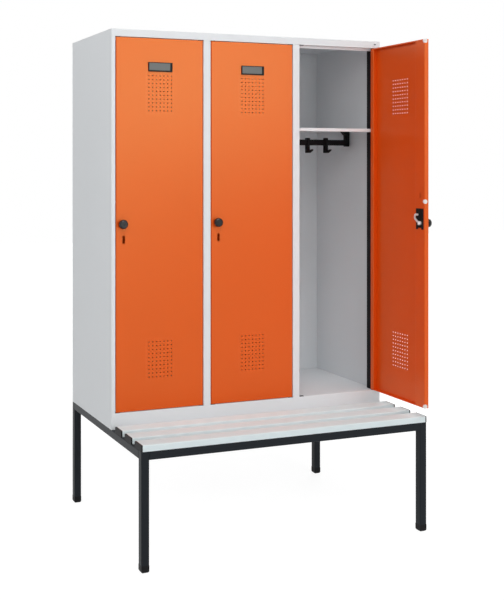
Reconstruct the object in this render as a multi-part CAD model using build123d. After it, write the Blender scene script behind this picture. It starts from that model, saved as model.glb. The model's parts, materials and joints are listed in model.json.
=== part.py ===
from build123d import *
import os

# Changing-room locker: three steel compartments on a square-tube frame, with a
# slatted bench in front. Millimetres. X runs along the front from the middle of
# the cabinet, Y runs from the front plane of the doors towards the wall, Z is up
# from the floor. The last lines move everything so that the origin lies on the
# floor below the middle of the whole object.

# Cabinet
bay_count = 3
bay_pitch = 400.0
cabinet_depth = 500.0
cabinet_height = 1530.0
cabinet_base = 428.0
sheet = 1.0
bend_radius = 2.0

# Door frame round the openings
mullion_width = 31.0
top_strip_height = 29.0
bottom_strip_height = 63.0
stop_depth = 24.0
stop_width = 9.0
stop_height = 10.0
weld_flange_depth = 71.0
rear_flange_width = 15.0
bottom_flange_width = 20.0
floor_fold_height = 20.0
floor_drop = 4.0

# Small slot near the right-hand end of the top strip
strip_slot_width = 10.0
strip_slot_height = 5.0
strip_slot_inset = 23.0
strip_slot_drop = 13.7

# Black hollow strips behind the frame on the hinge side of each compartment
hinge_strip_depth = 39.0
hinge_strip_reach = 4.5
hinge_strip_wall = 1.5

# Hat shelf
shelf_top = 1591.0
shelf_edge_height = 13.5
shelf_return_depth = 12.0

# Doors
door_side_gap = 3.0
door_end_gap = 2.5
door_thickness = 18.5
door_open_angles = (0.0, 0.0, 90.0)
hinge_box_width = 22.0
hinge_box_seam = 0.5
lock_return_width = 58.0
lock_return_lip = 8.0
top_flange_lip = 5.0

# Perforated fields of each door
hole_side = 4.0
hole_columns = 7
hole_rows = 10
hole_column_pitch = 15.7
hole_row_pitch = 15.0
upper_field_drop = 144.0
lower_field_rise = 125.5

# Pivot hinges at the top and bottom of each door
pivot_inset = 6.0
pivot_depth = 6.0
pin_radius = 2.5
pin_reach = 9.0
pin_running_clearance = 0.05
fixed_fit = 0.1
bush_radius = 4.0
bush_length = 8.0
bush_flange_radius = 5.2
bush_end_gap = 0.3
block_length = 17.5
block_width = 9.0
block_height = 11.0
block_margin = 1.5
block_head_lip = 1.0
block_head_height = 1.8

# Lock: knob, spindle, case and hook
lock_height = 1211.0
lock_inset = 25.0
spindle_radius = 4.0
spindle_grip = 12.0
skin_hole_radius = 5.0
case_bore_clearance = 0.3
knob_gap = 0.3
knob_neck_radius = 12.0
knob_neck_height = 5.0
knob_rim_radius = 17.8
knob_rim_height = 9.0
knob_rim_band = 7.0
knob_shoulder_radius = 16.0
knob_shoulder_height = 21.0
knob_face_radius = 12.5
knob_reach = 24.0
knob_dimple_radius = 4.0
knob_dimple_depth = 1.4
case_width = 46.4
case_height = 82.0
case_inset = 7.2
case_drop = 25.0
case_proud = 2.0
case_notch_width = 22.0
case_notch_height = 6.5
case_bevel = 1.5
hook_plane_gap = 1.0
hub_radius = 8.0
hook_thickness = 2.5
hook_width = 8.0
hook_bend = 7.0
hook_reach = 25.0
hook_rise = 33.0
hook_elbow_share = 0.52
hook_tip_share = 0.34
rivet_radius = 5.0
rivet_height = 2.0
rivet_bevel = 1.2

# Openings in the lock side of the door
slot_width = 11.0
slot_height = 32.0
slot_inset = 30.5
slot_drop = 59.0
keyhole_width = 8.6
keyhole_waist = 6.0
keyhole_inset = 28.0
keyhole_height = 22.0
keyhole_rise = 107.5

# Soft buffers let into the free edge of each door
buffer_axis_depth = 15.2
buffer_stop_gap = 0.3
buffer_proud = 1.0
buffer_inner_width = 5.0
buffer_end_inset = 7.0
buffer_middle_rise = 84.5

# Label frame on the door skin
label_width = 101.0
label_height = 36.0
label_drop = 110.0
label_rounding = 1.5
label_frame_depth = 3.2
label_floor = 0.8
label_left_bar = 4.0
label_right_bar = 8.0
label_bottom_bar = 5.0
label_top_bar = 2.0
card_margin = 0.3
card_thickness = 0.6

# Coat rail with sliding hooks, hung below the shelf
rail_depth_place = 225.0
rail_thickness = 16.0
rail_height = 25.0
rail_centre_height = 1536.0
rail_rounding = 3.0
rail_socket_depth = 8.0
rail_fit = 0.2
bracket_wall_gap = 9.0
bracket_width = 17.0
bracket_depth = 22.0
bracket_bottom_lip = 4.5
bracket_rounding = 5.0
bracket_foot_width = 16.0
bracket_foot_height = 7.0
hook_pitch = 91.0
hook_offset = -14.4
coat_hooks_per_bay = 3
collar_gap = 0.3
collar_wall = 4.0
collar_crown = 3.6
coat_hook_thickness = 10.0
coat_hook_drop = 45.5
coat_hook_front = 38.0
coat_hook_arm = 6.0
coat_hook_bend = 9.0
coat_hook_tip_share = 0.72
coat_hook_elbow_share = 0.45
coat_hook_window_width = 7.0
coat_hook_window_height = 15.0
coat_hook_body_rounding = 5.0

# Base frame of square tube
tube = 30.0
tube_wall = 2.0
tube_rounding = 3.0
bench_reach = 313.0
foot_height = 28.0
foot_edge_rounding = 10.0
foot_spigot_height = 15.0
foot_spigot_gap = 0.2

# Bench slats
slat_count = 3
slat_width = 67.0
slat_height = 24.0
slat_pitch = 103.0
slat_wall = 2.5
slat_top_rounding = 4.0
slat_bottom_rounding = 2.0
slat_web_place = 11.0
slat_cap_thickness = 5.0
slat_cap_spigot = 4.0
slat_cap_gap = 0.2

# Bolts that hold the slats and the cabinet on the frame
bolt_radius = 3.0
bolt_hole_radius = 3.4
bolt_head_radius = 5.5
bolt_head_height = 4.0
slat_bolt_length = 42.0
cabinet_bolt_length = 38.0
hex_sides = 6
cabinet_bolt_inset = 100.0

# How far every cut runs past the material
overrun = 5.0

# Sizes that follow from the ones above
half_width = bay_count * bay_pitch / 2
cabinet_top = cabinet_base + cabinet_height
jamb_width = mullion_width / 2
opening_bottom = cabinet_base + bottom_strip_height
opening_top = cabinet_top - top_strip_height
opening_middle = (opening_bottom + opening_top) / 2
floor_level = opening_bottom - floor_drop
stop_back = stop_depth + sheet
rear_panel_front = cabinet_depth - 2 * sheet
bay_centres = [(bay - (bay_count - 1) / 2) * bay_pitch for bay in range(bay_count)]
partition_places = [centre + bay_pitch / 2 for centre in bay_centres[:-1]]
door_width = bay_pitch - mullion_width - 2 * door_side_gap
door_bottom = opening_bottom + door_end_gap
door_top = opening_top - door_end_gap
pivot_place = door_width - pivot_inset
shelf_bottom = shelf_top - shelf_edge_height
case_face = door_thickness + case_proud
case_middle = case_inset + case_width / 2
bracket_reach = bay_pitch / 2 - bracket_wall_gap
hook_plane = stop_back + hook_plane_gap
knob_grip_end = knob_gap + spindle_grip
buffer_radius = stop_depth - buffer_stop_gap - buffer_axis_depth
leg_outer = half_width - tube
rail_bottom = cabinet_base - tube
slat_top = cabinet_base + slat_height
slat_places = [slat_width / 2 - bench_reach + slat * slat_pitch for slat in range(slat_count)]
rail_joint_bolt_x = half_width - tube / 2


def slab(x_low, x_high, y_low, y_high, z_low, z_high):
    """Box between two corners."""
    size = (x_high - x_low, y_high - y_low, z_high - z_low)
    return Pos(x_low, y_low, z_low) * Box(*size, align=(Align.MIN, Align.MIN, Align.MIN))


def folded_sheet(corners, low, high, plane=Plane.XY):
    """Sheet bent along a line of corners; its thickness lies on the right of the line."""
    points = [Vector(*corner) for corner in corners]
    heads = [(b - a).normalized() for a, b in zip(points, points[1:])]
    before = [heads[0]] + heads
    after = heads + [heads[-1]]
    inner = []
    outer_radii = []
    inner_radii = []
    for point, came, goes in zip(points, before, after):
        right = Vector(came.Y + goes.Y, -came.X - goes.X)
        inner.append(point + right * (sheet / (1 + came.dot(goes))))
        turns_right = came.cross(goes).Z < 0
        outer_radii.append(bend_radius if turns_right else bend_radius - sheet)
        inner_radii.append(bend_radius - sheet if turns_right else bend_radius)
    outer_line = FilletPolyline(*points, radius=outer_radii[1:-1])
    inner_line = FilletPolyline(*inner, radius=inner_radii[1:-1])
    ends = [Line(points[0], inner[0]), Line(points[-1], inner[-1])]
    section = make_face(Curve() + [outer_line, inner_line] + ends)
    return extrude(plane.offset(low) * section, high - low)


def rounded_bar(width, height, rounding, low, high, plane):
    """Bar of rounded rectangular section between two places along the plane's normal."""
    section = RectangleRounded(width, height, rounding)
    return extrude(plane.offset(low) * section, high - low)


def mirror_low(shape):
    """The same piece at the bottom of the opening."""
    return mirror(shape, about=Plane.XY.offset(opening_middle))


def wall_skin(bay, right):
    """How far the sheets of a wall stand into the bay beside its pitch line."""
    at_outside = bay == (bay_count - 1 if right else 0)
    return 2 * sheet if at_outside else sheet + sheet / 2


# Sheet-metal body


def side_panel():
    """Left side of the cabinet, folded at the front into the door frame."""
    edge = -half_width
    front = [
        (edge + jamb_width, stop_depth),
        (edge + jamb_width, 0),
        (edge, 0),
        (edge, stop_depth),
    ]
    wall = [
        (edge, sheet),
        (edge, cabinet_depth),
        (edge + rear_flange_width, cabinet_depth),
    ]
    panel = folded_sheet(front, opening_bottom, opening_top)
    panel += folded_sheet(wall, cabinet_base, cabinet_top - sheet)
    inside = edge + sheet
    stop_edge = edge + jamb_width + stop_width
    panel += slab(inside, stop_edge, stop_depth, stop_back, floor_level, opening_top)
    flange_end = stop_back + weld_flange_depth
    panel += slab(inside, inside + sheet, stop_back, flange_end, floor_level, opening_top)
    floor_edge = edge + bottom_flange_width
    floor_top = cabinet_base + sheet
    panel += slab(inside, floor_edge, stop_back, rear_panel_front, cabinet_base, floor_top)
    for place in cabinet_bolt_places():
        panel -= bolt_hole(-rail_joint_bolt_x, place, cabinet_base, floor_top)
    return panel


def partition(place):
    """Wall between two bays, with the mullion folded round its front edge."""
    half = mullion_width / 2
    front = [
        (place + half, stop_depth),
        (place + half, 0),
        (place - half, 0),
        (place - half, stop_depth),
    ]
    wall = folded_sheet(front, opening_bottom, opening_top)
    reach = half + stop_width
    wall += slab(place - reach, place + reach, stop_depth, stop_back, floor_level, opening_top)
    web = sheet / 2
    web_top = cabinet_top - sheet
    wall += slab(place - web, place + web, stop_back, rear_panel_front, floor_level, web_top)
    skin = web + sheet
    flange_end = stop_back + weld_flange_depth
    wall += slab(place - skin, place + skin, stop_back, flange_end, floor_level, opening_top)
    return wall


def rear_panel():
    inside = half_width - bend_radius
    rear = cabinet_depth - sheet
    return slab(-inside, inside, rear_panel_front, rear, cabinet_base, cabinet_top - sheet)


def roof():
    """Top sheet with the front strip and the stop flange folded under it."""
    line = [
        (stop_depth, opening_top - stop_height),
        (stop_depth, opening_top),
        (0, opening_top),
        (0, cabinet_top),
        (cabinet_depth, cabinet_top),
    ]
    pan = folded_sheet(line, -half_width, half_width, Plane.YZ)
    inside = half_width - sheet
    under_roof = cabinet_top - sheet
    for low, high in ((-half_width, -inside), (inside, half_width)):
        pan -= slab(low, high, sheet, stop_back + overrun, opening_top - overrun, under_roof)
    notch = mullion_width / 2 + stop_width
    for place in [-half_width] + partition_places + [half_width]:
        stop_low = opening_top - stop_height - overrun
        pan -= slab(place - notch, place + notch, sheet, stop_back + overrun, stop_low, opening_top)
    for cut in block_places():
        pan -= cut * block_body(fixed_fit)
    face = Plane.XZ * Pos(half_width - strip_slot_inset, cabinet_top - strip_slot_drop)
    return pan - extrude(face * SlotOverall(strip_slot_width, strip_slot_height), -2 * sheet, both=True)


def floor_pan():
    """Floor sheet with a low step behind the door frame and the deep front strip below it."""
    step = stop_depth - bend_radius
    line = [
        (bottom_flange_width, cabinet_base),
        (0, cabinet_base),
        (0, opening_bottom),
        (step, opening_bottom),
        (step, floor_level),
        (rear_panel_front, floor_level),
        (rear_panel_front, floor_level - floor_fold_height),
    ]
    pan = folded_sheet(line, -half_width, half_width, Plane.YZ)
    inside = half_width - sheet
    low_cut = cabinet_base - overrun
    high_cut = opening_bottom + overrun
    for low, high in ((-half_width, -inside), (inside, half_width)):
        pan -= slab(low, high, sheet, cabinet_depth, low_cut, high_cut)
    for cut in block_places():
        pan -= mirror_low(cut * block_body(fixed_fit))
    return pan


def shelf(bay):
    """Hat shelf with a folded front edge, held between the walls of its bay."""
    low = bay_centres[bay] - bay_pitch / 2 + wall_skin(bay, False)
    high = bay_centres[bay] + bay_pitch / 2 - wall_skin(bay, True)
    line = [
        (stop_back + shelf_return_depth, shelf_bottom),
        (stop_back, shelf_bottom),
        (stop_back, shelf_top),
        (rear_panel_front, shelf_top),
        (rear_panel_front, shelf_bottom),
    ]
    return folded_sheet(line, low, high, Plane.YZ)


def hinge_strips():
    """Black hollow strips in the corner behind the frame, above and below each shelf."""
    strips = []
    wall = hinge_strip_wall
    back = stop_back + hinge_strip_depth
    for bay in range(bay_count):
        jamb_line = bay_centres[bay] + bay_pitch / 2
        left = jamb_line - jamb_width - hinge_strip_reach
        right = jamb_line - wall_skin(bay, True)
        for low, high in ((floor_level, shelf_bottom), (shelf_top, opening_top)):
            strip = slab(left, right, stop_back, back, low, high)
            cell = (left + wall, right - wall, stop_back + wall, back - wall)
            strips.append(strip - slab(*cell, low - overrun, high + overrun))
    return strips


# Pivot hinges


def block_places():
    """Both ends of the top of every opening."""
    reach = bay_pitch / 2 - jamb_width - block_margin - block_length / 2
    return [Pos(centre + side * reach, pivot_depth, 0) for centre in bay_centres for side in (-1, 1)]


def block_body(extra):
    """Part of a pivot block that sits in the slot of the door frame."""
    size = (block_length + 2 * extra, block_width + 2 * extra)
    return Pos(0, 0, opening_top) * extrude(Rectangle(*size), block_height)


def pivot_blocks():
    """Black blocks in the frame: two on the hinge side carry the pins of a door."""
    head_size = (block_length + 2 * block_head_lip, block_width + 2 * block_head_lip)
    head = extrude(Rectangle(*head_size), block_head_height)
    head = Pos(0, 0, opening_top - block_head_height) * head
    block = block_body(0) + head
    hole_height = block_height + block_head_height + 2 * overrun
    hole = Cylinder(pin_radius + pin_running_clearance, hole_height)
    blocks = []
    for place in block_places():
        upper = place * block
        for centre in bay_centres:
            upper -= Pos(pivot_x(centre), pivot_depth, opening_top) * hole
        blocks += [upper, mirror_low(upper)]
    return blocks


def pivot_x(centre):
    """Place of a door's pivot along the front."""
    return centre - door_width / 2 + pivot_place


def hinge_pins():
    pins = []
    length = block_height + door_end_gap + pin_reach
    for centre in bay_centres:
        pin = Pos(pivot_x(centre), pivot_depth, door_top - pin_reach + length / 2)
        upper = pin * Cylinder(pin_radius, length)
        pins += [upper, mirror_low(upper)]
    return pins


def door_bushes():
    """Flanged bushes in the top and bottom flanges of a door, in the door's own frame."""
    flange_height = door_end_gap - block_head_height - bush_end_gap
    bush = Pos(0, 0, door_top - bush_length / 2) * Cylinder(bush_radius, bush_length)
    bush += Pos(0, 0, door_top + flange_height / 2) * Cylinder(bush_flange_radius, flange_height)
    bore = Cylinder(pin_radius + pin_running_clearance, 2 * (bush_length + overrun))
    bush -= Pos(0, 0, door_top) * bore
    upper = Pos(pivot_place, pivot_depth, 0) * bush
    return [upper, mirror_low(upper)]


# Door, drawn closed: X from its free edge, Y from its front face


def door_leaf():
    """Perforated tray with a closed box on the hinge side and a wide return for the lock."""
    line = [
        (door_width - hinge_box_width, sheet + hinge_box_seam),
        (door_width - hinge_box_width, door_thickness),
        (door_width, door_thickness),
        (door_width, 0),
        (0, 0),
        (0, door_thickness),
        (lock_return_width, door_thickness),
        (lock_return_width, door_thickness - lock_return_lip),
    ]
    leaf = folded_sheet(line, door_bottom, door_top)
    end_size = (door_width, door_thickness)
    end = extrude(RectangleRounded(*end_size, bend_radius), sheet)
    end = Pos(door_width / 2, door_thickness / 2, 0) * end
    leaf += Pos(0, 0, door_bottom) * end
    leaf += Pos(0, 0, door_top - sheet) * end
    lip_front = door_thickness - sheet
    lip_end = door_width - hinge_box_width
    leaf += slab(lock_return_width, lip_end, lip_front, door_thickness, door_top - top_flange_lip, door_top)
    leaf -= perforations(door_top - upper_field_drop - field_height() / 2)
    leaf -= perforations(door_bottom + lower_field_rise + field_height() / 2)
    leaf -= lock_openings()
    for height in buffer_heights():
        leaf -= buffer_disc(height, fixed_fit)
    bush_hole = Cylinder(bush_radius + fixed_fit, overrun)
    for height in (door_bottom, door_top):
        leaf -= Pos(pivot_place, pivot_depth, height) * bush_hole
    return leaf


def field_height():
    """From the first to the last row of a perforated field."""
    return (hole_rows - 1) * hole_row_pitch


def skin_cutter(sketch, x, z):
    """A sketch run through the door skin alone."""
    face = Plane((x, 0, z), x_dir=(1, 0, 0), z_dir=(0, 1, 0))
    return extrude(face * sketch, amount=sheet + hinge_box_seam / 2, both=True)


def perforations(height):
    grid = GridLocations(hole_column_pitch, hole_row_pitch, hole_columns, hole_rows)
    holes = Sketch() + [spot * Rectangle(hole_side, hole_side) for spot in grid]
    return skin_cutter(holes, door_width / 2, height)


def lock_openings():
    """Cuts for the spindle and the slot in the skin, the case and the keyhole in the return."""
    cuts = skin_cutter(Circle(skin_hole_radius), lock_inset, lock_height)
    slot = SlotOverall(slot_height, slot_width, rotation=90)
    cuts += skin_cutter(slot, slot_inset, lock_height - slot_drop)
    back = door_thickness + overrun
    front = door_thickness - sheet - hinge_box_seam
    low = lock_height - case_drop
    case_end = case_inset + case_width
    tab_half = case_notch_width / 2 - fixed_fit
    tab_top = low + case_notch_height - fixed_fit
    window = slab(case_inset, case_end, front, back, low, low + case_height)
    cuts += window - slab(case_middle - tab_half, case_middle + tab_half, front, back, low, tab_top)
    waist = Rectangle(keyhole_waist, keyhole_height - keyhole_width)
    end_shift = (keyhole_height - keyhole_width) / 2
    keyhole = waist + [Pos(0, side * end_shift) * Circle(keyhole_width / 2) for side in (-1, 1)]
    centre = (keyhole_inset, front, lock_height + keyhole_rise)
    face = Plane(centre, x_dir=(1, 0, 0), z_dir=(0, 1, 0))
    cuts += extrude(face * keyhole, amount=back - front)
    return cuts


def buffer_heights():
    middle = lock_height + buffer_middle_rise
    return (door_bottom + buffer_end_inset, middle, door_top - buffer_end_inset)


def buffer_disc(height, extra):
    """Round buffer that straddles the corner of the free edge."""
    width = buffer_proud + buffer_inner_width
    disc = Cylinder(buffer_radius + extra, width + 2 * extra, rotation=(0, 90, 0))
    return Pos(width / 2 - buffer_proud, buffer_axis_depth, height) * disc


def buffers():
    """Three white buffers, the outer two cut level with the ends of the door."""
    pieces = []
    room = slab(-overrun, door_width, 0, cabinet_depth, door_bottom, door_top)
    for height in buffer_heights():
        pieces.append(buffer_disc(height, 0) & room)
    return pieces


def label_plane(height):
    """Plane on the door skin behind the label, moved towards the front."""
    centre = (door_width / 2, -height, door_top - label_drop)
    return Plane(centre, x_dir=(1, 0, 0), z_dir=(0, -1, 0))


def label_window(margin):
    """Opening of the label frame; its four bars differ in width."""
    width = label_width - label_left_bar - label_right_bar - 2 * margin
    height = label_height - label_bottom_bar - label_top_bar - 2 * margin
    shift = Pos((label_left_bar - label_right_bar) / 2, (label_bottom_bar - label_top_bar) / 2)
    return shift * Rectangle(width, height)


def label_frame():
    """Black frame on the skin, with a pocket for the card."""
    outline = RectangleRounded(label_width, label_height, label_rounding)
    frame = extrude(label_plane(0) * outline, label_frame_depth)
    return frame - extrude(label_plane(label_floor) * label_window(0), label_frame_depth)


def label_card():
    """Plain grey card on the floor of the frame."""
    return extrude(label_plane(label_floor) * label_window(card_margin), card_thickness)


# Lock, in the door's own frame


def lock_axis(depth):
    """Plane square to the lock axis at a depth behind the door's front face."""
    return Plane((lock_inset, depth, lock_height), x_dir=(1, 0, 0), z_dir=(0, 1, 0))


def round_on_axis(radius, low, high):
    return extrude(lock_axis(low) * Circle(radius), high - low)


def knob():
    """Mushroom knob with a dimple in its face and a blind bore for the spindle."""
    outline = Polyline(
        (0, knob_gap),
        (knob_neck_radius, knob_gap),
        (knob_neck_radius, knob_neck_height),
        (knob_rim_radius, knob_rim_height),
        (knob_rim_radius, knob_rim_height + knob_rim_band),
        (knob_shoulder_radius, knob_shoulder_height),
        (knob_face_radius, knob_reach),
        (knob_dimple_radius, knob_reach),
        (0, knob_reach - knob_dimple_depth),
        close=True,
    )
    body = revolve(make_face(outline), Axis.Y)
    body = Pos(lock_inset, 0, lock_height) * (Rot(180, 0, 0) * body)
    return body - round_on_axis(spindle_radius + fixed_fit, -knob_grip_end - fixed_fit, overrun)


def latch():
    """Hooked cam with its hub and spindle; the hook points away from the jamb when open."""
    part = round_on_axis(spindle_radius, -knob_grip_end, hook_plane)
    part += round_on_axis(hub_radius, case_face + knob_gap, hook_plane + hook_thickness)
    path = FilletPolyline(
        (0, 0),
        (hook_reach, hook_rise * hook_elbow_share),
        (hook_reach, hook_rise),
        (hook_reach * hook_tip_share, hook_rise),
        radius=hook_bend,
    )
    blade = hook_outline(path, hook_width)
    face = Plane((lock_inset, hook_plane, lock_height), x_dir=(1, 0, 0), z_dir=(0, -1, 0))
    part += extrude(face * blade, -hook_thickness)
    rivet = round_on_axis(rivet_radius, hook_plane, hook_plane + hook_thickness + rivet_height)
    end = rivet.edges().filter_by(GeomType.CIRCLE).sort_by(Axis.Y)[-1]
    return part + chamfer(end, rivet_bevel)


def hook_outline(path, width):
    """Even width along a path, with round ends."""
    ends = [Pos(path @ share) * Circle(width / 2) for share in (0, 1)]
    return Sketch() + [trace(path, width)] + ends


def lock_case():
    """Black case that fills the return and stands a little proud of it."""
    low = lock_height - case_drop + fixed_fit
    high = low + case_height - 2 * fixed_fit
    left = case_inset + fixed_fit
    right = left + case_width - 2 * fixed_fit
    case = slab(left, right, sheet, case_face, low, high)
    case = chamfer(case.edges().group_by(Axis.Y)[-1], case_bevel)
    notch_half = case_notch_width / 2
    notch_top = low + case_notch_height
    case -= slab(case_middle - notch_half, case_middle + notch_half, 0, case_face + overrun, 0, notch_top)
    return case - round_on_axis(spindle_radius + case_bore_clearance, 0, case_face + overrun)


# Coat rail


def coat_rail(bay):
    half = bracket_reach - bracket_width + rail_socket_depth
    return rail_at(bay, half, 0)


def rail_at(bay, half, extra):
    """Rail section run to both sides of the middle of a bay."""
    centre = (bay_centres[bay], rail_depth_place, rail_centre_height)
    plane = Plane(centre, x_dir=(0, 1, 0), z_dir=(1, 0, 0))
    size = (rail_thickness + 2 * extra, rail_height + 2 * extra)
    return rounded_bar(*size, rail_rounding + extra, -half, half, plane)


def rail_brackets():
    """Two hangers for each rail, with a flared foot against the shelf."""
    inner = bracket_reach - bracket_width
    top = shelf_top - sheet
    bottom = rail_centre_height - rail_height / 2 - bracket_bottom_lip
    outline = Polyline(
        (bracket_reach, top),
        (bracket_reach, bottom),
        (inner, bottom),
        (inner, top - bracket_foot_height - bracket_foot_width),
        (inner - bracket_foot_width, top - bracket_foot_height),
        (inner - bracket_foot_width, top),
        close=True,
    )
    section = make_face(outline)
    section = fillet(section.vertices().group_by(Axis.Y)[0], bracket_rounding)
    front = rail_depth_place - bracket_depth / 2
    post = extrude(Plane.XZ.offset(-front) * section, -bracket_depth)
    brackets = []
    for bay in range(bay_count):
        socket = rail_at(bay, inner + rail_socket_depth + rail_fit, rail_fit)
        pair = [post, mirror(post, about=Plane.YZ)]
        brackets += [Pos(bay_centres[bay], 0, 0) * bracket - socket for bracket in pair]
    return brackets


def coat_hook(bay, number):
    """Collar round the rail, a windowed body below it and a hook towards the door."""
    collar_width = rail_thickness + 2 * (collar_gap + collar_wall)
    collar_height = rail_height + 2 * (collar_gap + collar_wall) + collar_crown
    body_bottom = -coat_hook_drop + coat_hook_arm / 2
    body_height = collar_height / 2 - body_bottom
    collar = Pos(0, collar_crown / 2) * RectangleRounded(collar_width, collar_height, coat_hook_body_rounding)
    body = RectangleRounded(collar_width, body_height + coat_hook_arm / 2, coat_hook_body_rounding)
    body = Pos(0, (collar_height / 2 - coat_hook_drop) / 2) * body
    arm_path = FilletPolyline(
        (0, body_bottom),
        (-coat_hook_front * coat_hook_elbow_share, body_bottom),
        (-coat_hook_front, -coat_hook_drop * coat_hook_tip_share),
        radius=coat_hook_bend,
    )
    window_low = -(rail_height / 2 + collar_gap + collar_wall) - coat_hook_window_height / 2
    window = Rectangle(coat_hook_window_width, coat_hook_window_height)
    outline = Sketch() + [collar, body, hook_outline(arm_path, coat_hook_arm)]
    outline -= Pos(0, window_low) * window
    outline -= Rectangle(rail_thickness + 2 * collar_gap, rail_height + 2 * collar_gap)
    place = bay_centres[bay] + hook_offset + (number - (coat_hooks_per_bay - 1) / 2) * hook_pitch
    face = Plane(
        (place - coat_hook_thickness / 2, rail_depth_place, rail_centre_height),
        x_dir=(0, 1, 0),
        z_dir=(1, 0, 0),
    )
    return extrude(face * outline, coat_hook_thickness)


# Base frame and bench


def square_tube(plane, low, high):
    """Square tube along the plane's normal."""
    bar = rounded_bar(tube, tube, tube_rounding, low, high, plane)
    inner = tube - 2 * tube_wall
    bore = extrude(plane.offset(low - overrun) * Rectangle(inner, inner), high - low + 2 * overrun)
    return bar - bore


def leg_places():
    x = half_width - tube / 2
    return [(side * x, y) for side in (-1, 1) for y in (tube / 2 - bench_reach, cabinet_depth - tube / 2)]


def legs():
    return [square_tube(Plane((x, y, 0)), foot_height, cabinet_base) for x, y in leg_places()]


def feet():
    """Rounded plugs that close the legs and stand on the floor."""
    plugs = []
    for x, y in leg_places():
        plug = extrude(Rectangle(tube, tube), foot_height)
        plug = fillet(plug.faces().sort_by(Axis.Z)[0].edges(), foot_edge_rounding)
        spigot = tube - 2 * (tube_wall + foot_spigot_gap)
        spigot_top = foot_height + foot_spigot_height
        plug += extrude(Pos(0, 0, foot_height) * Rectangle(spigot, spigot), spigot_top - foot_height)
        plugs.append(Pos(x, y, 0) * plug)
    return plugs


def long_rails():
    """Front, middle and rear rails that run along the cabinet."""
    rails = []
    for y in (tube / 2 - bench_reach, tube / 2, cabinet_depth - tube / 2):
        plane = Plane((0, y, cabinet_base - tube / 2), x_dir=(0, 1, 0), z_dir=(1, 0, 0))
        rails.append(square_tube(plane, -leg_outer, leg_outer))
    return rails


def side_rails():
    """Rails from the front legs to the rear legs, drilled for the bolts."""
    rails = []
    for side in (-1, 1):
        x = side * rail_joint_bolt_x
        plane = Plane((x, 0, cabinet_base - tube / 2), x_dir=(-1, 0, 0), z_dir=(0, 1, 0))
        rail = square_tube(plane, tube - bench_reach, cabinet_depth - tube)
        for y in cabinet_bolt_places() + slat_bolt_places():
            rail -= bolt_hole(x, y, rail_bottom, cabinet_base)
        rails.append(rail)
    return rails


def bolt_hole(x, y, low, high):
    height = high - low + 2 * overrun
    return Pos(x, y, low - overrun + height / 2) * Cylinder(bolt_hole_radius, height)


def cabinet_bolt_places():
    return [cabinet_bolt_inset, cabinet_depth - cabinet_bolt_inset]


def slat_bolt_places():
    """Each slat is bolted through its rear cell, clear of the front legs."""
    web_face = slat_web_place + slat_wall
    side_face = slat_width / 2 - slat_wall
    return [place + (web_face + side_face) / 2 for place in slat_places]


def bolt_section():
    return RegularPolygon(bolt_head_radius, hex_sides)


def frame_bolts():
    """Hexagon bolts from below, through the side rails into the slats and the cabinet."""
    pieces = []
    lengths = [(y, slat_bolt_length) for y in slat_bolt_places()]
    lengths += [(y, cabinet_bolt_length) for y in cabinet_bolt_places()]
    for side in (-1, 1):
        for y, length in lengths:
            bolt = extrude(bolt_section(), -bolt_head_height) + extrude(Circle(bolt_radius), length)
            pieces.append(Pos(side * rail_joint_bolt_x, y, rail_bottom) * bolt)
    return pieces


def slat_section(inset):
    """Outline of a slat, rounded more at the top."""
    size = (slat_width - 2 * inset, slat_height - 2 * inset)
    outline = Rectangle(*size)
    top = outline.vertices().group_by(Axis.Y)[-1]
    outline = fillet(top, slat_top_rounding - inset)
    low = outline.vertices().group_by(Axis.Y)[0]
    return fillet(low, max(slat_bottom_rounding - inset, sheet / 2))


def slat_plane(place):
    return Plane((0, place, slat_top - slat_height / 2), x_dir=(0, 1, 0), z_dir=(1, 0, 0))


def slat_cells():
    """Hollows of a slat, left and right of its two webs."""
    inner = slat_section(slat_wall)
    for side in (-1, 1):
        inner -= Pos(side * (slat_web_place + slat_wall / 2)) * Rectangle(slat_wall, slat_height)
    return inner


def slat(place, bolt_y):
    """Hollow profile with two webs, open at the ends under its caps."""
    half = half_width - slat_cap_thickness
    plane = slat_plane(place).offset(-half)
    section = slat_section(0) - slat_cells()
    bar = extrude(plane * section, 2 * half)
    for side in (-1, 1):
        bar -= bolt_hole_in_slat(side * rail_joint_bolt_x, bolt_y)
    return bar


def bolt_hole_in_slat(x, y):
    height = slat_wall + overrun
    low = cabinet_base - overrun
    return Pos(x, y, low + height / 2) * Cylinder(bolt_hole_radius, height)


def slat_caps():
    """Black end caps, each with a short spigot in the middle cell of its slat."""
    caps = []
    width = 2 * (slat_web_place - slat_cap_gap)
    height = slat_height - 2 * (slat_wall + slat_cap_gap)
    for place in slat_places:
        plane = slat_plane(place).offset(half_width - slat_cap_thickness)
        cap = extrude(plane * slat_section(0), slat_cap_thickness)
        cap += extrude(plane * Rectangle(width, height), -slat_cap_spigot)
        caps += [cap, mirror(cap, about=Plane.YZ)]
    return caps


# Putting the pieces in place and writing them


def door_place(bay):
    """From the door's own frame to its place, turned about its pivot when it stands open."""
    centre = bay_centres[bay]
    closed = Pos(centre - door_width / 2, 0, 0)
    hinge = Vector(pivot_x(centre), pivot_depth, 0)
    return Pos(hinge) * Rot(0, 0, door_open_angles[bay]) * Pos(-hinge) * closed


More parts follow.
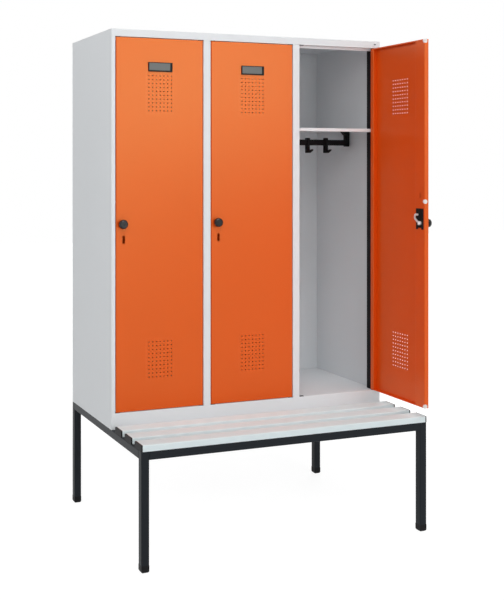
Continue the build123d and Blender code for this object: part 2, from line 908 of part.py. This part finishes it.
def cabinet_nodes():
    panel = side_panel()
    nodes = {
        "left_side_panel": [panel],
        "right_side_panel": [mirror(panel, about=Plane.YZ)],
        "rear_panel": [rear_panel()],
        "roof": [roof()],
        "floor_pan": [floor_pan()],
        "hinge_strips": hinge_strips(),
        "pivot_blocks": pivot_blocks(),
        "hinge_pins": hinge_pins(),
        "rail_brackets": rail_brackets(),
    }
    for number, place in enumerate(partition_places, 1):
        nodes[f"partition_{number}"] = [partition(place)]
    for bay in range(bay_count):
        nodes[f"hat_shelf_{bay + 1}"] = [shelf(bay)]
        nodes[f"coat_rail_{bay + 1}"] = [coat_rail(bay)]
        for number in range(coat_hooks_per_bay):
            nodes[f"coat_hook_{bay + 1}_{number + 1}"] = [coat_hook(bay, number)]
    return nodes


def door_nodes():
    pieces = {
        "door": [door_leaf()],
        "door_bushes": door_bushes(),
        "door_buffers": buffers(),
        "label_holder": [label_frame()],
        "label_card": [label_card()],
        "lock_case": [lock_case()],
        "latch": [latch()],
        "knob": [knob()],
    }
    nodes = {}
    for bay in range(bay_count):
        for name, solids in pieces.items():
            nodes[f"{name}_{bay + 1}"] = [door_place(bay) * solid for solid in solids]
    return nodes


def base_nodes():
    nodes = {
        "legs": legs(),
        "feet": feet(),
        "long_rails": long_rails(),
        "side_rails": side_rails(),
        "frame_bolts": frame_bolts(),
        "slat_caps": slat_caps(),
    }
    for number, (place, bolt_y) in enumerate(zip(slat_places, slat_bolt_places()), 1):
        nodes[f"bench_slat_{number}"] = [slat(place, bolt_y)]
    return nodes


all_nodes = {**cabinet_nodes(), **door_nodes(), **base_nodes()}
whole = Compound([solid for pieces in all_nodes.values() for piece in pieces for solid in piece.solids()])
reach = whole.bounding_box()
to_origin = Pos(-(reach.min.X + reach.max.X) / 2, -(reach.min.Y + reach.max.Y) / 2, -reach.min.Z)
os.makedirs("parts", exist_ok=True)
for name, pieces in all_nodes.items():
    solids = [solid for piece in pieces for solid in (to_origin * piece).solids()]
    export_step(solids[0] if len(solids) == 1 else Compound(solids), f"parts/{name}.step")
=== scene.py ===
"""Locker with bench: finishes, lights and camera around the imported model."""

import json
import math

import bpy
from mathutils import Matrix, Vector


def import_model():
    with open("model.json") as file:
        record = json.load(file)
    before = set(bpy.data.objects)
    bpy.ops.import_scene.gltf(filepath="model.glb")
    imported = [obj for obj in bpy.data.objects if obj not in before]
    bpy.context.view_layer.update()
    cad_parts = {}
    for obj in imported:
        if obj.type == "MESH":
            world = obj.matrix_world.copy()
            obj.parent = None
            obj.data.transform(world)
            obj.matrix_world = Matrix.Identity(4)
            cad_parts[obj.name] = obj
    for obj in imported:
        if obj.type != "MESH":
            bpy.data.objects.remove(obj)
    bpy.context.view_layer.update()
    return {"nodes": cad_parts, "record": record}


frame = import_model()

# Camera: metres, radians, pixels of the picture, and millimetres of film

CAMERA_PLACE = (-1.8714, -3.6429, 1.4349)
CAMERA_YAW = 0.351
FOCAL_PIXELS = 995.55
PRINCIPAL_POINT = (121.01, 165.68)
PICTURE = (504, 600)
FILM_WIDTH = 36.0

# Colours, as linear light

LIGHT_GREY = (0.80, 0.828, 0.85)
ORANGE = (0.735, 0.071, 0.002)
ORANGE_SHEEN = (1.0, 0.95, 0.38)
BLACK_GREY = (0.0085, 0.0115, 0.0155)
SLAT_GREY = (0.76, 0.86, 0.88)
PLASTIC_BLACK = (0.0075, 0.0075, 0.0085)
ZINC = (0.90, 0.89, 0.90)
SILICONE = (0.84, 0.79, 0.77)
CARD_GREY = (0.125, 0.135, 0.130)
FLOOR_GREY = (0.86, 0.86, 0.86)
WHITE = (1.0, 1.0, 1.0)

# Enamel: clouds, grains and peel per metre, depth in metres, darkest and lightest tone

ENAMEL_CLOUDS = 3.0
ENAMEL_GRAIN = 900.0
ENAMEL_GRAIN_SHARE = 0.3
ENAMEL_PEEL = 420.0
ENAMEL_PEEL_DEPTH = 0.0004
ENAMEL_TONES = (0.965, 1.03)
ENAMEL_ROUGHNESS_SPREAD = 0.06

# Moulded plastic, in the same units

PLASTIC_CLOUDS = 20.0
PLASTIC_GRAIN = 1500.0
PLASTIC_GRAIN_DEPTH = 0.0002
PLASTIC_TONES = (0.85, 1.15)
PLASTIC_ROUGHNESS_SPREAD = 0.08

# Zinc plate, drawn out in lines across the height

ZINC_LINES = 60.0
ZINC_STRETCH = (1.0, 1.0, 40.0)
ZINC_DEPTH = 0.0002
ZINC_TONES = (0.8, 1.0)
ZINC_METAL = 0.55
ZINC_ROUGHNESS = 0.38
ZINC_ROUGHNESS_SPREAD = 0.16

# Slats, drawn out in lines along their length

SLAT_LINES = 9.0
SLAT_STRETCH = (0.6, 60.0, 60.0)
SLAT_DEPTH = 0.0004
SLAT_CLOUDS = 6.0
SLAT_TONES = (0.955, 1.02)
SLAT_ROUGHNESS = 0.62
SLAT_ROUGHNESS_SPREAD = 0.08
SLAT_GLOSS = 0.08

# Card of the labels

CARD_FIBRES = 700.0
CARD_DEPTH = 0.0002
CARD_TONES = (0.88, 1.1)
CARD_ROUGHNESS = 0.50
CARD_ROUGHNESS_SPREAD = 0.10

# Room: level of its light, reach of the floor in metres, and how the floor turns white further out

ROOM_LIGHT = 0.05
FLOOR_REACH = 14.0
FLOOR_ROUGHNESS = 0.9
FLOOR_GLOSS = 0.2
FLOOR_WHITE = 1.18
FLOOR_WHITE_SHARE = 0.78
FLOOR_NEAR = 1.1
FLOOR_FADE = 0.8

# Point that most lamps face

MIDDLE = (0.0, 0.0, 1.0)


class Value:
    """A shader value that takes part in ordinary arithmetic."""

    def __init__(self, graph, socket):
        self.graph = graph
        self.socket = socket

    def math(self, operation, *others):
        values = dict(enumerate((self, *others)))
        return self.graph.node("ShaderNodeMath", {"operation": operation}, values)

    def __add__(self, other):
        return self.math("ADD", other)

    def __radd__(self, other):
        return self.math("ADD", other)

    def __sub__(self, other):
        return self.math("SUBTRACT", other)

    def __rsub__(self, other):
        return self.math("MULTIPLY_ADD", -1.0, other)

    def __mul__(self, other):
        return self.math("MULTIPLY", other)

    def __rmul__(self, other):
        return self.math("MULTIPLY", other)

    def clamped(self, low, high):
        return self.math("MAXIMUM", low).math("MINIMUM", high)


class Graph:
    """The nodes of one material or world."""

    def __init__(self, tree):
        self.tree = tree

    def node(self, kind, settings=None, values=None, output=0):
        """Add a node: its settings first, then the values or links of its sockets."""
        made = self.tree.nodes.new(kind)
        for name, setting in (settings or {}).items():
            setattr(made, name, setting)
        for name, value in (values or {}).items():
            self.feed(made.inputs[name], value)
        return Value(self, made.outputs[output])

    def feed(self, socket, value):
        if isinstance(value, Value):
            self.tree.links.new(value.socket, socket)
        elif isinstance(value, tuple) and socket.type == "RGBA":
            socket.default_value = (*value, 1.0)
        else:
            socket.default_value = value

    def looked_at(self):
        """1 where the camera, a reflection or glass looks at a surface, 0 for the light it gives."""
        camera_ray = self.node("ShaderNodeLightPath", output="Is Camera Ray")
        glossy_ray = self.node("ShaderNodeLightPath", output="Is Glossy Ray")
        glass_ray = self.node("ShaderNodeLightPath", output="Is Transmission Ray")
        return camera_ray.math("MAXIMUM", glossy_ray).math("MAXIMUM", glass_ray)

    def whitened(self, shader, share, strength):
        """Send out a shader that is mixed with plain white by a share."""
        white = self.node("ShaderNodeEmission", None, {"Color": WHITE, "Strength": strength})
        mix = self.node("ShaderNodeMixShader", None, {0: share, 1: shader, 2: white})
        end = self.tree.get_output_node("ALL")
        self.feed(end.inputs["Surface"], mix)


class Finish(Graph):
    """One material and the nodes that make it."""

    def __init__(self, name):
        self.material = bpy.data.materials.new(name)
        self.material.use_nodes = True
        super().__init__(self.material.node_tree)
        self.shader = self.tree.nodes["Principled BSDF"]

    def surface(self, **values):
        """Feed the shader's sockets; underscores stand for the spaces in their names."""
        for name, value in values.items():
            self.feed(self.shader.inputs[name.replace("_", " ")], value)
        return self.material

    def place(self):
        """The object's own coordinates, in metres."""
        return self.node("ShaderNodeTexCoord", output="Object")

    def noise(self, scale, detail=2.0, roughness=0.5, place=None):
        values = {"Vector": place or self.place(), "Scale": scale, "Detail": detail, "Roughness": roughness}
        return self.node("ShaderNodeTexNoise", None, values)

    def stretched(self, factors):
        """Coordinates scaled by a factor along each axis."""
        values = {0: self.place(), 1: factors}
        return self.node("ShaderNodeVectorMath", {"operation": "MULTIPLY"}, values)

    def distance(self):
        """How far a point lies from the object's origin, in metres."""
        values = {0: self.place()}
        return self.node("ShaderNodeVectorMath", {"operation": "LENGTH"}, values, output="Value")

    def tint(self, share, colour, tones):
        """A colour that goes from its darkest to its lightest tone by a share."""
        darkest, lightest = (tuple(channel * tone for channel in colour) for tone in tones)
        settings = {"data_type": "RGBA"}
        return self.node("ShaderNodeMix", settings, {0: share, 6: darkest, 7: lightest}, output=2)

    def bumps(self, height, strength, depth):
        values = {"Height": height, "Strength": strength, "Distance": depth}
        return self.node("ShaderNodeBump", None, values)


def around(middle, spread, share):
    """A value that strays by half a spread to both sides of its middle."""
    return middle - spread / 2 + share * spread


# Finishes


def enamel(name, colour, roughness, gloss, peel=0.10, sheen=WHITE):
    """Powder coat: fine orange peel, faint clouds in the tone and in the gloss."""
    finish = Finish(name)
    clouds = finish.noise(ENAMEL_CLOUDS, detail=3.0)
    grain = finish.noise(ENAMEL_GRAIN, detail=1.0)
    tone = (clouds * (1.0 - ENAMEL_GRAIN_SHARE) + grain * ENAMEL_GRAIN_SHARE).clamped(0.0, 1.0)
    return finish.surface(
        Base_Color=finish.tint(tone, colour, ENAMEL_TONES),
        Roughness=around(roughness, ENAMEL_ROUGHNESS_SPREAD, clouds),
        Specular_IOR_Level=gloss,
        Specular_Tint=sheen,
        Normal=finish.bumps(finish.noise(ENAMEL_PEEL, roughness=0.4), peel, ENAMEL_PEEL_DEPTH),
    )


def moulded_plastic(name, colour, roughness, gloss, grain):
    """Moulded plastic with a fine spark-eroded grain."""
    finish = Finish(name)
    speckle = finish.noise(PLASTIC_GRAIN, roughness=0.6)
    clouds = finish.noise(PLASTIC_CLOUDS)
    return finish.surface(
        Base_Color=finish.tint(clouds, colour, PLASTIC_TONES),
        Roughness=around(roughness, PLASTIC_ROUGHNESS_SPREAD, speckle),
        Specular_IOR_Level=gloss,
        Normal=finish.bumps(speckle, grain, PLASTIC_GRAIN_DEPTH),
    )


def zinc_plate(name):
    """Bright zinc plating with fine drawn lines."""
    finish = Finish(name)
    lines = finish.noise(ZINC_LINES, detail=3.0, roughness=0.6, place=finish.stretched(ZINC_STRETCH))
    return finish.surface(
        Base_Color=finish.tint(lines, ZINC, ZINC_TONES),
        Metallic=ZINC_METAL,
        Roughness=around(ZINC_ROUGHNESS, ZINC_ROUGHNESS_SPREAD, lines),
        Normal=finish.bumps(lines, strength=0.08, depth=ZINC_DEPTH),
    )


def slat_plastic(name):
    """Extruded slat: faint lines along its length and a soft sheen."""
    finish = Finish(name)
    lines = finish.noise(SLAT_LINES, detail=3.0, roughness=0.6, place=finish.stretched(SLAT_STRETCH))
    clouds = finish.noise(SLAT_CLOUDS)
    return finish.surface(
        Base_Color=finish.tint(lines, SLAT_GREY, SLAT_TONES),
        Roughness=around(SLAT_ROUGHNESS, SLAT_ROUGHNESS_SPREAD, clouds),
        Specular_IOR_Level=SLAT_GLOSS,
        Normal=finish.bumps(lines, strength=0.06, depth=SLAT_DEPTH),
    )


def paper_card(name):
    """Grey card with a fibrous surface."""
    finish = Finish(name)
    fibres = finish.noise(CARD_FIBRES, detail=4.0, roughness=0.7)
    return finish.surface(
        Base_Color=finish.tint(fibres, CARD_GREY, CARD_TONES),
        Roughness=around(CARD_ROUGHNESS, CARD_ROUGHNESS_SPREAD, fibres),
        Normal=finish.bumps(fibres, strength=0.2, depth=CARD_DEPTH),
    )


FINISHES = {
    "light_grey_enamel": enamel("light grey enamel", LIGHT_GREY, roughness=0.45, gloss=0.2),
    "orange_enamel": enamel(
        "orange enamel", ORANGE, roughness=0.32, gloss=0.72, peel=0.08, sheen=ORANGE_SHEEN
    ),
    "black_grey_enamel": enamel("black grey enamel", BLACK_GREY, roughness=0.42, gloss=0.15),
    "pale_grey_plastic": slat_plastic("pale grey slats"),
    "black_plastic": moulded_plastic(
        "black plastic", PLASTIC_BLACK, roughness=0.50, gloss=0.12, grain=0.25
    ),
    "black_knob_plastic": moulded_plastic(
        "black knob plastic", PLASTIC_BLACK, roughness=0.18, gloss=0.35, grain=0.05
    ),
    "zinc_plated_steel": zinc_plate("zinc plated steel"),
    "white_silicone": moulded_plastic("white silicone", SILICONE, roughness=0.55, gloss=0.5, grain=0.1),
    "grey_card": paper_card("grey card"),
}


def dress_nodes():
    """Give every node of the model the finish of its slot."""
    for part in frame["record"]["subparts"]:
        node = frame["nodes"][part["node"]]
        node.data.materials.clear()
        node.data.materials.append(FINISHES[part["material_slot"]])


# Room, lights and camera


def floor():
    """White floor that keeps a faint shadow below the frame."""
    left, right = -FLOOR_REACH, FLOOR_REACH
    corners = [(left, left, 0.0), (right, left, 0.0), (right, right, 0.0), (left, right, 0.0)]
    mesh = bpy.data.meshes.new("studio_floor")
    mesh.from_pydata(corners, [], [(0, 1, 2, 3)])
    ground = bpy.data.objects.new("studio_floor", mesh)
    bpy.context.scene.collection.objects.link(ground)
    finish = Finish("studio floor")
    finish.surface(Base_Color=FLOOR_GREY, Roughness=FLOOR_ROUGHNESS, Specular_IOR_Level=FLOOR_GLOSS)
    far = ((finish.distance() - FLOOR_NEAR) * FLOOR_FADE).clamped(0.0, 1.0)
    share = finish.looked_at() * (FLOOR_WHITE_SHARE + far * (1.0 - FLOOR_WHITE_SHARE))
    finish.whitened(Value(finish, finish.shader.outputs["BSDF"]), share, FLOOR_WHITE)
    mesh.materials.append(finish.material)


def world():
    """Even faint light from all round, with white behind the object."""
    room = bpy.data.worlds.new("soft room")
    room.use_nodes = True
    air = Graph(room.node_tree)
    background = air.tree.nodes["Background"]
    air.feed(background.inputs["Color"], WHITE)
    air.feed(background.inputs["Strength"], ROOM_LIGHT)
    air.whitened(Value(air, background.outputs["Background"]), air.looked_at(), strength=1.0)
    bpy.context.scene.world = room


def soft_box(name, place, target, size, power):
    """A lamp of a width and height in metres that faces a target, with its power in watts."""
    light = bpy.data.lights.new(name, "AREA")
    light.shape = "RECTANGLE"
    light.size, light.size_y = size
    light.energy = power
    lamp = bpy.data.objects.new(name, light)
    lamp.location = place
    lamp.rotation_euler = (Vector(target) - Vector(place)).to_track_quat("-Z", "Y").to_euler()
    bpy.context.scene.collection.objects.link(lamp)


def lights():
    """Large soft boxes far off: above, in front, on the left, and behind on the right for the far sides."""
    soft_box("door gleam box", place=(1.8, -5.0, 2.45), target=(0.0, 0.0, 1.4), size=(3.0, 1.7), power=60.0)
    soft_box("high front box", place=(0.0, -6.0, 5.8), target=MIDDLE, size=(4.0, 3.0), power=45.0)
    soft_box("overhead box", place=(-0.8, -3.0, 7.5), target=MIDDLE, size=(4.0, 3.0), power=160.0)
    soft_box("left box", place=(-4.2, -0.5, 3.6), target=(-0.6, 0.2, 1.3), size=(2.0, 2.0), power=65.0)
    soft_box("front left box", place=(-4.5, -6.0, 4.5), target=MIDDLE, size=(3.0, 3.0), power=95.0)
    soft_box("rear right box", place=(4.0, 4.5, 3.4), target=(0.2, 0.3, 1.1), size=(3.0, 3.0), power=120.0)
    soft_box("low front box", place=(0.0, -7.0, 1.2), target=(0.0, 0.0, 1.1), size=(4.0, 2.0), power=45.0)


def camera():
    """Level camera that looks to the right, with its frame shifted as in the photograph."""
    width, height = PICTURE
    longest = max(PICTURE)
    lens = bpy.data.cameras.new("camera")
    lens.sensor_width = FILM_WIDTH
    lens.lens = FOCAL_PIXELS / longest * FILM_WIDTH
    lens.shift_x = (width / 2 - PRINCIPAL_POINT[0]) / longest
    lens.shift_y = (PRINCIPAL_POINT[1] - height / 2) / longest
    eye = bpy.data.objects.new("camera", lens)
    eye.location = CAMERA_PLACE
    eye.rotation_euler = (math.pi / 2, 0.0, -CAMERA_YAW)
    bpy.context.scene.collection.objects.link(eye)
    bpy.context.scene.camera = eye


dress_nodes()
floor()
world()
lights()
camera()
bpy.context.scene.view_settings.view_transform = "Standard"
